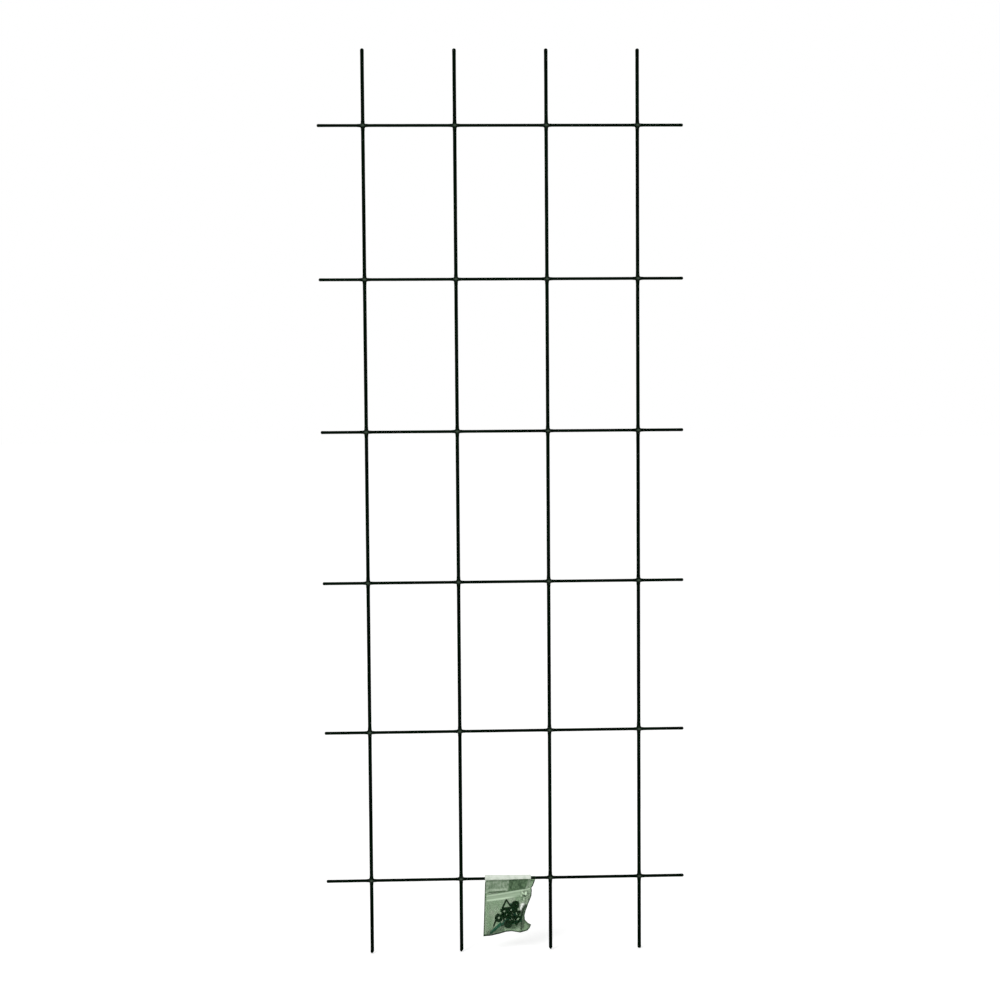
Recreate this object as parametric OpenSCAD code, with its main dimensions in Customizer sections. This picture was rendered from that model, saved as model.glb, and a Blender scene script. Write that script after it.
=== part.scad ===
// Espalier frame: a welded grid of coated steel rods that climbing plants are trained on.
// A clear bag of wall fixings hangs on its lowest rail by a strip of white tape.
// X runs along the rails, Z up the uprights and +Y towards the wall. All lengths are in millimetres.
// The origin is on the wall plane, midway across the frame, level with the tips of the legs.

/* [Frame] */
// Length of each rail, which is the width of the frame
rail_l = 600; // [450:10:900]
// Length of each upright, which is the height of the frame
upright_l = 1500; // [700:10:2000]
// Distance between the axes of neighbouring uprights
upright_pitch = 150; // [120:5:200]
// Distance between the axes of neighbouring rails
rail_pitch = 250; // [150:5:300]
// Least free length of a rail beyond the outer uprights
least_rail_end = 50; // [40:5:70]
// Least free length of an upright beyond the outer rails
least_upright_end = 105; // [100:5:120]

/* [Rods] */
// Diameter of an upright over its coating
upright_d = 6; // [5:0.5:8]
// Diameter of a rail over its coating
rail_d = 5; // [4.5:0.5:7]
// Thickness of the plastic coating
coating_t = 0.5; // [0.3:0.1:0.7]
// Depth that a rail's steel is pressed into an upright's steel by the weld
weld_sink = 0.5; // [0.3:0.1:0.8]
// Diameter of the fused metal at a weld
nugget_d = 2; // [1.2:0.2:2.4]
// Length of the fused metal through a weld
nugget_l = 1.2; // [0.8:0.2:1.6]

/* [Coating at the crossings and ends] */
// Rise of the coating where it gathers at a crossing
collar_rise = 0.25; // [0.1:0.05:0.4]
// Length over which that rise fades out along a rod
collar_taper = 2; // [1:0.5:4]
// Radius of the coating's fillet in each corner of a crossing
web_fillet_r = 3.5; // [2:0.5:5]
// Thickness of that fillet from front to back
web_t = 2.4; // [1.6:0.2:3]
// Slope of the drip at the foot of a leg, in degrees
drip_slope = 50; // [35:1:55]
// Distance of the drip's point from the leg's axis
drip_offset = 0.6; // [0.2:0.1:1]

/* [Bag] */
// Width of the bag at its mouth
bag_w = 84; // [82:1:90]
// Height of the bag's longer side below the rail's axis
bag_h = 98.8; // [95:0.2:104]
// Thickness of the film
film_t = 0.25; // [0.2:0.05:0.4]
// Swell of the front film over the fixings
front_swell = 13; // [12.5:0.5:15]
// Swell of the back film over the fixings
back_swell = 16.5; // [16:0.5:19]
// Length of the tape along the rail
tape_l = 77; // [70:1:82]
// Thickness of the tape
tape_t = 0.25; // [0.2:0.05:0.4]
// Height that the fold of the tape stands up over the rail
tape_crest = 2.2; // [0.6:0.2:3]
// Length of tape below the rail that holds the mouth of the bag
tape_grip = 0.8; // [0.6:0.1:2]
// Depth of the mouth of the bag below the rail's axis
mouth_drop = 4.3; // [4.2:0.1:6]
// Thickness of the label
label_t = 0.12; // [0.1:0.02:0.2]
// Height of the closing strips of the bag
seal_h = 2.4; // [1.8:0.2:2.8]
// Thickness of the closed pair of strips
seal_t = 1.4; // [1.2:0.1:1.8]

/* [Wall clip] */
// Diameter of the eye that takes the screw
eye_d = 13.5; // [12.5:0.5:14]
// Diameter of the hole in the eye
eye_hole_d = 4.2; // [3.8:0.1:5]
// Thickness of the clip
clip_t = 4; // [3.5:0.1:4.4]
// Height of the loop's point above the centre of the eye
loop_h = 25.5; // [25:0.5:26]
// Width of the loop between its corners
loop_w = 15.5; // [14:0.5:16.5]
// Width of the bars of the loop
loop_bar = 2.6; // [2.2:0.1:2.8]
// Width of the neck between the eye and the loop
neck_w = 4.6; // [4:0.2:5.2]
// Width of the slit that lets a rod snap into the loop
loop_slit = 0.8; // [0.6:0.1:1.4]

/* [Screw] */
// Length of the screw
screw_l = 25; // [22:1:26]
// Diameter of the screw over its thread
screw_d = 3.5; // [3:0.1:4]
// Diameter of the screw's head
screw_head_d = 6.5; // [5.5:0.1:7]
// Distance between turns of the thread
thread_pitch = 1.6; // [1.2:0.1:2]

/* [Wall plug] */
// Length of the plug
plug_l = 25; // [22:1:26]
// Diameter of the plug
plug_d = 5.2; // [4.5:0.1:5.6]
// Diameter of the rim of the plug
plug_rim_d = 6.2; // [5.8:0.1:6.6]
// Diameter of the hole down the plug
plug_hole_d = 2.4; // [2:0.1:2.8]

/* [Hidden] */
$fn = 48;

// As many uprights and rails as fit at their pitch, and one set of fixings for each corner of the frame
upright_count = floor((rail_l - 2 * least_rail_end) / upright_pitch) + 1;
rail_count = floor((upright_l - 2 * least_upright_end) / rail_pitch) + 1;
fixing_count = 4;

// Overrun of every cut past the face it leaves
cut_over = 1;

// Radii of the rods and places of their axes
upright_r = upright_d / 2;
rail_r = rail_d / 2;
upright_core_r = upright_r - coating_t;
rail_core_r = rail_r - coating_t;
upright_y = -(upright_r + collar_rise);
rail_y = upright_y - (upright_core_r + rail_core_r - weld_sink);
weld_y = upright_y - upright_core_r + weld_sink / 2;
web_y = (upright_y + rail_y) / 2;
function upright_x(i) = (i - (upright_count - 1) / 2) * upright_pitch;
function rail_z(j) = upright_l / 2 + (j - (rail_count - 1) / 2) * rail_pitch;

// Collars reach past the fillets on both sides of a crossing
collar_margin_share = 0.25;
upright_collar_half = rail_r + web_fillet_r * (1 + collar_margin_share);
rail_collar_half = upright_r + web_fillet_r * (1 + collar_margin_share);

// Steel stops short of a domed end by the depth at which its rim keeps this share of the coating
end_skin_share = 0.6;
function core_inset(r, core_r) = r - sqrt(pow(r - end_skin_share * coating_t, 2) - core_r * core_r);
upright_core_top = upright_l - core_inset(upright_r, upright_core_r);
upright_core_foot = (upright_core_r + drip_offset) * tan(drip_slope) + coating_t / cos(drip_slope);
rail_core_l = rail_l - 2 * core_inset(rail_r, rail_core_r);

// Number of slopes on each leg's drip in turn, and the way each faces, in degrees from +X
drip_slopes = [1, 1, 2, 1];
drip_turns = [0, 0, 0, 250];

// Layers round the lowest rail: clearance, film loop, clearance, tape
loop_clearance = 0.15;
tape_clearance = 0.1;
film_loop_r = rail_r + loop_clearance;
tape_r = film_loop_r + film_t + tape_clearance;
tape_out_r = tape_r + tape_t;

// The bag hangs from the lowest rail, in the middle bay
bag_bay = floor((upright_count - 1) / 2);
bag_bay_x = (upright_x(bag_bay) + upright_x(bag_bay + 1)) / 2;
bag_left_share = -0.4155;
bag_left = bag_left_share * bag_w;
bag_z = rail_z(0);
// Share of its height that the bag loses from its left side to its right side
bag_skew_share = 0.205;
// Share of its width by which the bag's left edge leans out at its foot
left_lean_share = 0.042;
// Right edge of the bag: share of the way down, then share of the width
right_edge_shares = [
    [0, 1], [0.14, 0.955], [0.22, 0.926], [0.31, 0.936], [0.42, 0.926], [0.57, 0.855],
    [0.69, 0.81], [0.8, 0.785], [0.9, 0.795], [0.97, 0.86], [1, 0.917]
];
// Sag of the bottom edge: share of the way across, then share of the height
bottom_sag_shares = [
    [0, 0], [0.17, 0.017], [0.34, 0.025], [0.47, 0.023], [0.6, 0.043], [0.77, 0.104],
    [0.92, 0.1], [0.97, 0.07], [1, 0.01]
];
// Grid of the films, and the rows between which the closing strips lie
film_columns = 16;
film_rows = 24;
seal_row = 7;
// The pouch starts below the strips, and its welded edges take this share of its width
pouch_row = 8;
seam_share = 0.03;

// Lift of the right-hand end of the closing strips, as a share of the height
seal_lift_share = 0.062;
// Part of that lift at each depth: share of the way down, then share of the lift
lift_depth_shares = [[0.12, 0], [0.3, 1], [0.36, 1], [0.62, 0]];
// Share of the way down from which the sag of the bottom edge begins
sag_start_share = 0.5;
function sag_weight(v) = pow(max(0, (v - sag_start_share) / (1 - sag_start_share)), 2);
function bag_x(u, v) = bag_left
    + (u * lookup(v, right_edge_shares) - (1 - u) * v * left_lean_share) * bag_w;
function bag_drop(u, v) = mouth_drop + v * (bag_h * (1 - bag_skew_share * u) - mouth_drop)
    + sag_weight(v) * lookup(u, bottom_sag_shares) * bag_h
    - u * lookup(v, lift_depth_shares) * seal_lift_share * bag_h;

// Half the gap between the films, as a share of a film's swell; a low fullness share fills the edges
fullness_share = 0.42;
function arch(t) = t <= 0 || t >= 1 ? 0 : pow(sin(180 * t), fullness_share);
function swell_share(u, v) = arch((u - seam_share) / (1 - 2 * seam_share))
    * arch((v - pouch_row / film_rows) / (1 - seam_share - pouch_row / film_rows));
function in_seal(row, u) = (row == seal_row || row == seal_row + 1) && u > 0 && u < 1;
seal_clearance = 0.05;
function film_gap(u, row, swell) = in_seal(row, u)
    ? seal_t / 2 + seal_clearance
    : swell * swell_share(u, row / film_rows);
function film_point(u, row, side, swell, skin) =
    [bag_x(u, row / film_rows), side * (film_gap(u, row, swell) + skin), -bag_drop(u, row / film_rows)];

// Closing strips run between two points on the middle row of their channel
seal_from_share = 0.08;
seal_to_share = 0.92;
seal_v = (seal_row + 0.5) / film_rows;
seal_from = [bag_x(seal_from_share, seal_v), -bag_drop(seal_from_share, seal_v)];
seal_to = [bag_x(seal_to_share, seal_v), -bag_drop(seal_to_share, seal_v)];
seal_tilt = atan2(seal_to[1] - seal_from[1], seal_to[0] - seal_from[0]);
seal_run = norm(seal_to - seal_from);
// The groove takes the larger share of the pair's thickness, and the tongue stands in it
groove_share = 0.6;
tongue_h_share = 0.4;
tongue_fit = 0.06;
groove_t = groove_share * seal_t;
rib_t = seal_t - groove_t;
tongue_h = tongue_h_share * seal_h;
tongue_l_share = 0.7;
tongue_l = tongue_l_share * groove_t;

// Label corners on the lip of the bag, as shares across and down
label_from_share = 0.04;
label_to_share = 0.93;
label_top_share = 0.012;
label_bottom_share = 0.225;

// Clip: corners of its loop, and the place of its slit along the right-hand bar
loop_base_share = 0.45;
loop_base = loop_base_share * loop_h;
clip_l = loop_h + loop_bar / 2 + eye_d / 2;
slit_share = 0.12;
countersink_share = 0.35;

// Screw: proportions of its head, thread and recess
screw_head_h_share = 0.36;
screw_root_share = 0.72;
screw_plain_share = 0.28;
screw_point_share = 0.16;
recess_w_share = 0.16;
recess_l_share = 0.62;
recess_depth_share = 0.6;
screw_head_h = screw_head_h_share * screw_head_d;
screw_root_d = screw_root_share * screw_d;

// Plug: proportions of its rim, ribs, slot and hole
plug_rim_h_share = 0.04;
plug_rib_count = 7;
plug_rib_share = 0.1;
plug_ribs_from_share = 0.3;
plug_tip_share = 0.12;
plug_tip_d_share = 0.7;
plug_slot_w_share = 0.16;
plug_slot_l_share = 0.6;
plug_hole_l_share = 0.88;

// Where the fixings lie: the middle of the heap, as shares of the bag
heap_x_share = 0.45;
heap_z_share = 0.6283;
heap_x = bag_left + heap_x_share * bag_w;
heap_z = -heap_z_share * bag_h;
// Two layers of clips, with the screws behind them
layer_gap = 0.6;
front_layer = -(clip_t + layer_gap) / 2;
back_layer = (clip_t + layer_gap) / 2;
rear_layer = back_layer + (clip_t + screw_head_d) / 2 + layer_gap;
// Places of the clips, across and up from the middle, as shares of a clip's length; then turns in degrees
clip_place_shares = [[-0.02, 0.01], [0.004, -0.458], [-0.453, -0.187], [0.394, 0.469]];
clip_layers = [front_layer, front_layer, back_layer, back_layer];
clip_turns = [4, -63, -50, -180];
// Places of the screws, as the same shares, and their turns
screw_place_shares = [[0.056, -0.095], [-0.6, -0.375], [0.478, 0.116], [-0.202, -0.24]];
screw_turns = [26, -22, 15, 13];
// Places of the plugs, as the same shares, their turns, and their leans towards the front
plug_place_shares = [[-0.61, -0.68], [0.342, -0.433], [-0.081, -0.353], [0.295, 0.13]];
plug_turns = [-46, 104, -46, 21];
plug_leans = [8, 0, 0, 0];
// Depth of each plug: one in front, two beside the back layer of clips, and one among the screws
plug_front_share = -0.65;
plug_back_share = 1.4;
plug_depths = [
    plug_front_share * back_layer, plug_back_share * back_layer, plug_back_share * back_layer, rear_layer
];

function numbered(name, count) = [for (k = [1:count]) str(name, "_", k)];

// Outer shape of a coated rod along +Z: domed ends, and a collar at each place in the list
module rod_shape(l, r, places, collar_half) {
    rotate_extrude()
        polygon(concat(
            [[0, r], [r, r]],
            [for (p = places) each [
                [r, p - collar_half - collar_taper], [r + collar_rise, p - collar_half],
                [r + collar_rise, p + collar_half], [r, p + collar_half + collar_taper]
            ]],
            [[r, l - r], [0, l - r]]
        ));
    for (end = [r, l - r])
        translate([0, 0, end]) sphere(r);
}

module at_upright(i) {
    translate([upright_x(i), upright_y, 0]) children();
}

module at_rail(j) {
    translate([-rail_l / 2, rail_y, rail_z(j)]) rotate([0, 90, 0]) children();
}

module rail_shape() {
    rod_shape(rail_l, rail_r, [for (i = [0:upright_count - 1]) rail_l / 2 + upright_x(i)], rail_collar_half);
}

module upright_shape() {
    rod_shape(upright_l, upright_r, [for (j = [0:rail_count - 1]) rail_z(j)], upright_collar_half);
}

module rail_steel(j) {
    translate([-rail_core_l / 2, rail_y, rail_z(j)])
        rotate([0, 90, 0]) cylinder(h = rail_core_l, r = rail_core_r);
}

module upright_steel(i) {
    at_upright(i)
        translate([0, 0, upright_core_foot])
            cylinder(h = upright_core_top - upright_core_foot, r = upright_core_r);
}

module nugget(i, j) {
    translate([upright_x(i), weld_y, rail_z(j)])
        rotate([90, 0, 0]) cylinder(h = nugget_l, d = nugget_d, center = true);
}

// Steel rods, each with its part of the welds taken out
module upright_core(i) {
    color("silver")
        difference() {
            upright_steel(i);
            for (j = [0:rail_count - 1]) {
                rail_steel(j);
                nugget(i, j);
            }
        }
}

module rail_core(j) {
    color("silver")
        difference() {
            rail_steel(j);
            for (i = [0:upright_count - 1]) nugget(i, j);
        }
}

module weld_nuggets() {
    color("dimgray")
        for (i = [0:upright_count - 1], j = [0:rail_count - 1]) nugget(i, j);
}

// Wedge of space under the sloping face of a drip, with its edge on the drip's point
module drip_cut() {
    size = 2 * upright_d;
    translate([-drip_offset, 0, 0])
        rotate([0, -drip_slope, 0])
            translate([0, -size / 2, -size]) cube(size);
}

// Coating of an upright, open where each rail crosses it
module upright_coating(i) {
    color("darkgreen")
        difference() {
            at_upright(i)
                difference() {
                    upright_shape();
                    for (k = [0:drip_slopes[i % len(drip_slopes)] - 1])
                        rotate([0, 0, drip_turns[i % len(drip_turns)] + 180 * k]) drip_cut();
                }
            upright_steel(i);
            for (j = [0:rail_count - 1]) at_rail(j) rail_shape();
        }
}

// Coating of a rail, open behind where the steel of each upright meets its own
module rail_coating(j) {
    color("darkgreen")
        difference() {
            at_rail(j) rail_shape();
            rail_steel(j);
            for (i = [0:upright_count - 1]) upright_steel(i);
        }
}

// Fillet of coating round one crossing: a plate with hollow corners, between the two rods
module crossing_web(i, j) {
    half_x = upright_r + web_fillet_r;
    half_z = rail_r + web_fillet_r;
    difference() {
        translate([upright_x(i), web_y, rail_z(j)])
            rotate([90, 0, 0])
                linear_extrude(web_t, center = true)
                    difference() {
                        square([2 * half_x, 2 * half_z], center = true);
                        for (sx = [-1, 1], sz = [-1, 1])
                            translate([sx * half_x, sz * half_z]) circle(web_fillet_r);
                    }
        at_upright(i) upright_shape();
        at_rail(j) rail_shape();
    }
}

module crossing_webs(j) {
    color("green")
        for (i = [0:upright_count - 1]) crossing_web(i, j);
}

// Everything on the bag is placed from the axis of the lowest rail, midway along its bay
module on_lowest_rail() {
    translate([bag_bay_x, rail_y, bag_z]) children();
}

// Extrudes a front-to-back profile along the rail
module along_rail(l) {
    translate([bag_left, 0, 0]) rotate([90, 0, 90]) linear_extrude(l) children();
}

// Loop of film folded round the rail, free to slide along it
module lip_loop() {
    color("lightgreen")
        on_lowest_rail()
            along_rail(tape_l)
                difference() {
                    circle(film_loop_r + film_t);
                    circle(film_loop_r);
                }
}

// Point where a line from p touches a circle of radius r on its left-hand side
function touch_point(r, p) =
    let (a = atan2(p[1], p[0]) - acos(r / norm(p)))
    [r * cos(a), r * sin(a)];

// Round fold that stands up over the rail, and sides that close on the mouth of the bag
module teardrop(r, half_w) {
    mouth = [-half_w, -mouth_drop];
    side = touch_point(r, mouth);
    circle(r);
    translate([-r, 0]) square([2 * r, tape_crest]);
    translate([0, tape_crest]) circle(r);
    polygon([side, mouth, [half_w, -mouth_drop], [-side[0], side[1]], [0, 0]]);
}

// White tape over the loop, which grips the mouth of the bag below the rail
module hanging_tape() {
    grip_half = film_t + tape_t;
    color("white")
        on_lowest_rail()
            along_rail(tape_l)
                difference() {
                    union() {
                        teardrop(tape_out_r, grip_half);
                        translate([-grip_half, -mouth_drop - tape_grip])
                            square([2 * grip_half, tape_grip + tape_t]);
                    }
                    teardrop(tape_r, film_t);
                    translate([-film_t, -mouth_drop - tape_grip - cut_over])
                        square([2 * film_t, tape_grip + cut_over]);
                }
}

// One film of the bag: two skins of points and a rim, as a closed sheet
module film(side, swell) {
    columns = film_columns + 1;
    skin_size = columns * (film_rows + 1);
    function at(skin, row, column) = skin * skin_size + row * columns + column;
    points = [
        for (skin = [0, film_t], row = [0:film_rows], column = [0:film_columns])
            film_point(column / film_columns, row, side, swell, skin)
    ];
    rim = concat(
        [for (column = [0:film_columns]) [0, column]],
        [for (row = [1:film_rows]) [row, film_columns]],
        [for (column = [1:film_columns]) [film_rows, film_columns - column]],
        [for (row = [1:film_rows - 1]) [film_rows - row, 0]]
    );
    function facing(face) = side < 0 ? face : [for (k = [0:2]) face[2 - k]];
    faces = concat(
        [for (row = [0:film_rows - 1], column = [0:film_columns - 1]) each [
            facing([at(0, row, column), at(0, row + 1, column), at(0, row + 1, column + 1)]),
            facing([at(0, row, column), at(0, row + 1, column + 1), at(0, row, column + 1)]),
            facing([at(1, row, column), at(1, row + 1, column + 1), at(1, row + 1, column)]),
            facing([at(1, row, column), at(1, row, column + 1), at(1, row + 1, column + 1)])
        ]],
        [for (k = [0:len(rim) - 1])
            let (a = rim[k], b = rim[(k + 1) % len(rim)])
            each [
                facing([at(0, a[0], a[1]), at(0, b[0], b[1]), at(1, b[0], b[1])]),
                facing([at(0, a[0], a[1]), at(1, b[0], b[1]), at(1, a[0], a[1])])
            ]]
    );
    polyhedron(points, faces);
}

module bag_front_film() {
    color("lightgreen", 0.5) on_lowest_rail() film(-1, front_swell);
}

module bag_back_film() {
    color("lightgreen", 0.5) on_lowest_rail() film(1, back_swell);
}

// Extrudes a strip's section, drawn front to back and up, along the line of the closing strips
module along_seal() {
    on_lowest_rail()
        translate([seal_from[0], 0, seal_from[1]])
            rotate([0, -seal_tilt, 0])
                rotate([90, 0, 90])
                    linear_extrude(seal_run) children();
}

// Closing strip on the front film, with a tongue
module seal_rib() {
    color("honeydew")
        along_seal() {
            translate([-seal_t / 2, -seal_h / 2]) square([rib_t, seal_h]);
            translate([-seal_t / 2, -tongue_h / 2]) square([rib_t + tongue_l, tongue_h]);
        }
}

// Closing strip on the back film, with a groove for the tongue
module seal_groove() {
    slot_h = tongue_h + 2 * tongue_fit;
    color("honeydew")
        along_seal()
            difference() {
                translate([seal_t / 2 - groove_t, -seal_h / 2]) square([groove_t, seal_h]);
                translate([seal_t / 2 - groove_t - cut_over, -slot_h / 2])
                    square([cut_over + tongue_l + tongue_fit, slot_h]);
            }
}

// Bare label on the lip of the bag, cut to the lip's slant
module bag_label() {
    corners = [
        for (c = [
            [label_from_share, label_top_share], [label_to_share, label_top_share],
            [label_to_share, label_bottom_share], [label_from_share, label_bottom_share]
        ])
            [bag_x(c[0], c[1]), -bag_drop(c[0], c[1])]
    ];
    color("palegreen")
        on_lowest_rail()
            translate([0, -film_t, 0])
                rotate([90, 0, 0]) linear_extrude(label_t) polygon(corners);
}

// Bar with round ends between two points
module bar(from, to) {
    run = to - from;
    translate(from) {
        rotate(atan2(run[1], run[0])) translate([0, -loop_bar / 2]) square([norm(run), loop_bar]);
        circle(d = loop_bar);
    }
    translate(to) circle(d = loop_bar);
}

// Flat wall clip: an eye for the screw, a neck, and a three-cornered loop that snaps over a rod
module clip_shape() {
    top = [0, loop_h];
    left = [-loop_w / 2, loop_base];
    right = [loop_w / 2, loop_base];
    slit = right + slit_share * (top - right);
    difference() {
        rotate([90, 0, 0])
            linear_extrude(clip_t, center = true) {
                circle(d = eye_d);
                translate([-neck_w / 2, 0]) square([neck_w, loop_base]);
                difference() {
                    union() {
                        bar(left, top);
                        bar(left, right);
                        bar(right, top);
                    }
                    translate(slit)
                        rotate(atan2(top[1] - right[1], top[0] - right[0]))
                            square([loop_slit, loop_bar + 2 * cut_over], center = true);
                }
            }
        rotate([90, 0, 0]) cylinder(h = clip_t + 2 * cut_over, d = eye_hole_d, center = true);
        translate([0, -clip_t / 2, 0])
            rotate([-90, 0, 0])
                cylinder(h = countersink_share * clip_t, d1 = screw_head_d, d2 = eye_hole_d);
    }
}

// Places a fixing in the heap, with its turn in the plane of the bag
module in_heap(place_shares, depth, turn) {
    on_lowest_rail()
        translate([heap_x + place_shares[0] * clip_l, depth, heap_z + place_shares[1] * clip_l])
            rotate([0, -turn, 0]) children();
}

module wall_clip(k) {
    color("darkgreen") in_heap(clip_place_shares[k], clip_layers[k], clip_turns[k]) clip_shape();
}

// Countersunk screw along +Z, with its head at the top and a ring for each turn of its thread
module screw_shape() {
    point_l = screw_point_share * screw_l;
    plain_l = screw_plain_share * screw_l;
    thread_l = screw_l - screw_head_h - plain_l - point_l;
    turns = floor(thread_l / thread_pitch);
    root_r = screw_root_d / 2;
    crest_r = screw_d / 2;
    thread_top = point_l + turns * thread_pitch;
    recess_w = recess_w_share * screw_head_d;
    recess_l = recess_l_share * screw_head_d;
    recess_depth = recess_depth_share * screw_head_h;
    translate([0, 0, -screw_l / 2])
        difference() {
            rotate_extrude()
                polygon(concat(
                    [[0, 0], [root_r, point_l]],
                    [for (k = [0:turns - 1]) each [
                        [crest_r, point_l + k * thread_pitch + thread_pitch / 2],
                        [root_r, point_l + (k + 1) * thread_pitch]
                    ]],
                    [[crest_r, thread_top + crest_r - root_r], [crest_r, screw_l - screw_head_h],
                     [screw_head_d / 2, screw_l], [0, screw_l]]
                ));
            for (turn = [0, 90])
                rotate(turn)
                    translate([-recess_l / 2, -recess_w / 2, screw_l - recess_depth])
                        cube([recess_l, recess_w, recess_depth + cut_over]);
        }
}

module screw(k) {
    color("lightgray") in_heap(screw_place_shares[k], rear_layer, screw_turns[k]) screw_shape();
}

// Split wall plug along +Z, with its rim at the top
module plug_shape() {
    body_r = plug_d / 2;
    tip_l = plug_tip_share * plug_l;
    rim_h = plug_rim_h_share * plug_l;
    rib_top = (1 - plug_ribs_from_share) * plug_l;
    rib_pitch = (rib_top - tip_l) / plug_rib_count;
    groove_r = body_r - plug_rib_share * plug_d;
    slot_w = plug_slot_w_share * plug_d;
    slot_l = plug_slot_l_share * plug_l;
    hole_l = plug_hole_l_share * plug_l;
    translate([0, 0, -plug_l / 2])
        difference() {
            rotate_extrude()
                polygon(concat(
                    [[0, 0], [plug_tip_d_share * body_r, 0], [groove_r, tip_l]],
                    [for (k = [0:plug_rib_count - 1]) each [
                        [body_r, tip_l + k * rib_pitch + rib_pitch / 2],
                        [groove_r, tip_l + (k + 1) * rib_pitch]
                    ]],
                    [[body_r, rib_top + body_r - groove_r], [body_r, plug_l - rim_h],
                     [plug_rim_d / 2, plug_l - rim_h], [plug_rim_d / 2, plug_l], [0, plug_l]]
                ));
            translate([0, 0, plug_l - hole_l]) cylinder(h = hole_l + cut_over, d = plug_hole_d);
            translate([-plug_d, -slot_w / 2, -cut_over]) cube([2 * plug_d, slot_w, slot_l + cut_over]);
        }
}

module wall_plug(k) {
    color("darkslategray")
        in_heap(plug_place_shares[k], plug_depths[k], plug_turns[k])
            rotate([plug_leans[k], 0, 0]) plug_shape();
}

for (i = [0:upright_count - 1]) {
    upright_core(i);
    upright_coating(i);
}
for (j = [0:rail_count - 1]) {
    rail_core(j);
    rail_coating(j);
    crossing_webs(j);
}
for (k = [0:fixing_count - 1]) {
    wall_clip(k);
    screw(k);
    wall_plug(k);
}
weld_nuggets();
lip_loop();
hanging_tape();
bag_front_film();
bag_back_film();
seal_rib();
seal_groove();
bag_label();
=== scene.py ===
"""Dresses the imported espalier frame: dipped rods, a creased bag of wall fixings and a plain studio."""
import math

import bmesh
import bpy
import numpy as np
from mathutils import Matrix, Vector, noise
from mathutils.bvhtree import BVHTree


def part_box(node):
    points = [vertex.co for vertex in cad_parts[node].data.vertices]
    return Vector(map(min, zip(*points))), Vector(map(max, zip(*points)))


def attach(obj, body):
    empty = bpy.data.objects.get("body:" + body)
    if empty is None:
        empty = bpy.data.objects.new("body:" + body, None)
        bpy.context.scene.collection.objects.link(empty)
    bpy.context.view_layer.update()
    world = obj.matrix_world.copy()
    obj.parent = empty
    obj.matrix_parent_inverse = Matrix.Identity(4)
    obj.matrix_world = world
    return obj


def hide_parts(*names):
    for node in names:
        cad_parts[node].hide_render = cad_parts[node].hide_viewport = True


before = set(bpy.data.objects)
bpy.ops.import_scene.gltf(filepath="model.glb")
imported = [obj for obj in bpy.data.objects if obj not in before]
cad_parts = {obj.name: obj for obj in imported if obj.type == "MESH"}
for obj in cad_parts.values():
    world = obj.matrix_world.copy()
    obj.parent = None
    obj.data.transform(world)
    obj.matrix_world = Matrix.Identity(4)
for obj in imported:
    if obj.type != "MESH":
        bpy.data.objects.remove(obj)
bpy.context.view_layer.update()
MM = 0.001

# Camera, found from the places of the 24 crossings in a picture of 1000 x 1000
PICTURE_W, FOCAL_PX, SENSOR_MM = 1000, 1800, 36
CAMERA_PLACE = (-0.123, -2.981, 0.944)
# Turn of the camera from level, about its own right, down and forward axes
CAMERA_TURN_DEG = (3.51, -2.28, -0.48)

# Rods
UPRIGHTS, RAILS, FIXINGS = range(1, 5), range(1, 7), range(1, 5)
UPRIGHT_R, RAIL_R = 3.0 * MM, 2.5 * MM
X_AXIS, Z_AXIS, RAIL_SEED = 0, 2, 10
ROD_SIDES = 28
RING_STEP, FINE_STEP = 8 * MM, 0.9 * MM
CROSSING_REACH = 14 * MM
DOME_RINGS, DOME_TIP_TURN = 7, 0.04
COLLAR_RISE, COLLAR_HALF, COLLAR_TAPER = 0.25 * MM, 6 * MM, 4 * MM
FILLET_BLEND, FILLET_MOST, FILLET_STEPS = 4 * MM, 2.2 * MM, 14
# Unevenness of the dipped skin: its height, then the length of its waves along the rod
WAVES = ((0.07 * MM, 32 * MM), (0.03 * MM, 7 * MM))
RUN_HEIGHT, RUN_REACH, RUN_TURN = 0.26 * MM, 5 * MM, 0.42
# Runs at a crossing: their number, from and up to; places along the rod; shares of reach and height
RUN_COUNTS, RUN_PLACES_MM = (1, 4), (-28, 18)
RUN_REACH_SHARES, RUN_HEIGHT_SHARES = (0.5, 1.6), (0.3, 1)
# Distances from a crossing at which runs fade: on a rail, where the lip slides, and on an upright
RUN_ENDS = {X_AXIS: (9 * MM, 13 * MM), Z_AXIS: (30 * MM, 40 * MM)}
END_BEAD, END_BEAD_REACH = 0.16 * MM, 5 * MM
DRIP_SLOPE_DEG, DRIP_OFFSET, DRIP_ROUND = 50, 0.6 * MM, 0.5 * MM
# Reach of the painted highlight on the front of each crossing, and how narrowly it faces the front
PAINTED_HIGHLIGHT_REACH, PAINTED_HIGHLIGHT_FOCUS = 2.8 * MM, 3
# Ways that the slopes of each leg's drip face, in degrees from +X
DRIP_TURNS_DEG = ((0,), (0,), (0, 180), (250,))

# Bag: the same outline as its solids
BAG_W, BAG_H, MOUTH_DROP = 84 * MM, 98.8 * MM, 4.3 * MM
BAG_LEFT, LEFT_LEAN_SHARE = -0.4155 * BAG_W, 0.042
BAG_SKEW_SHARE, SAG_START_SHARE, SEAL_LIFT_SHARE = 0.205, 0.5, 0.062
RIGHT_EDGE_SHARES = (
    (0, 1), (0.14, 0.955), (0.22, 0.926), (0.31, 0.936), (0.42, 0.926), (0.57, 0.855),
    (0.69, 0.81), (0.8, 0.785), (0.9, 0.795), (0.97, 0.86), (1, 0.917))
BOTTOM_SAG_SHARES = (
    (0, 0), (0.17, 0.017), (0.34, 0.025), (0.47, 0.023), (0.6, 0.043), (0.77, 0.104),
    (0.92, 0.1), (0.97, 0.07), (1, 0.01))
LIFT_DEPTH_SHARES = ((0.12, 0), (0.3, 1), (0.36, 1), (0.62, 0))
FILM_COLUMNS, FILM_ROWS = 121, 141
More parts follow.
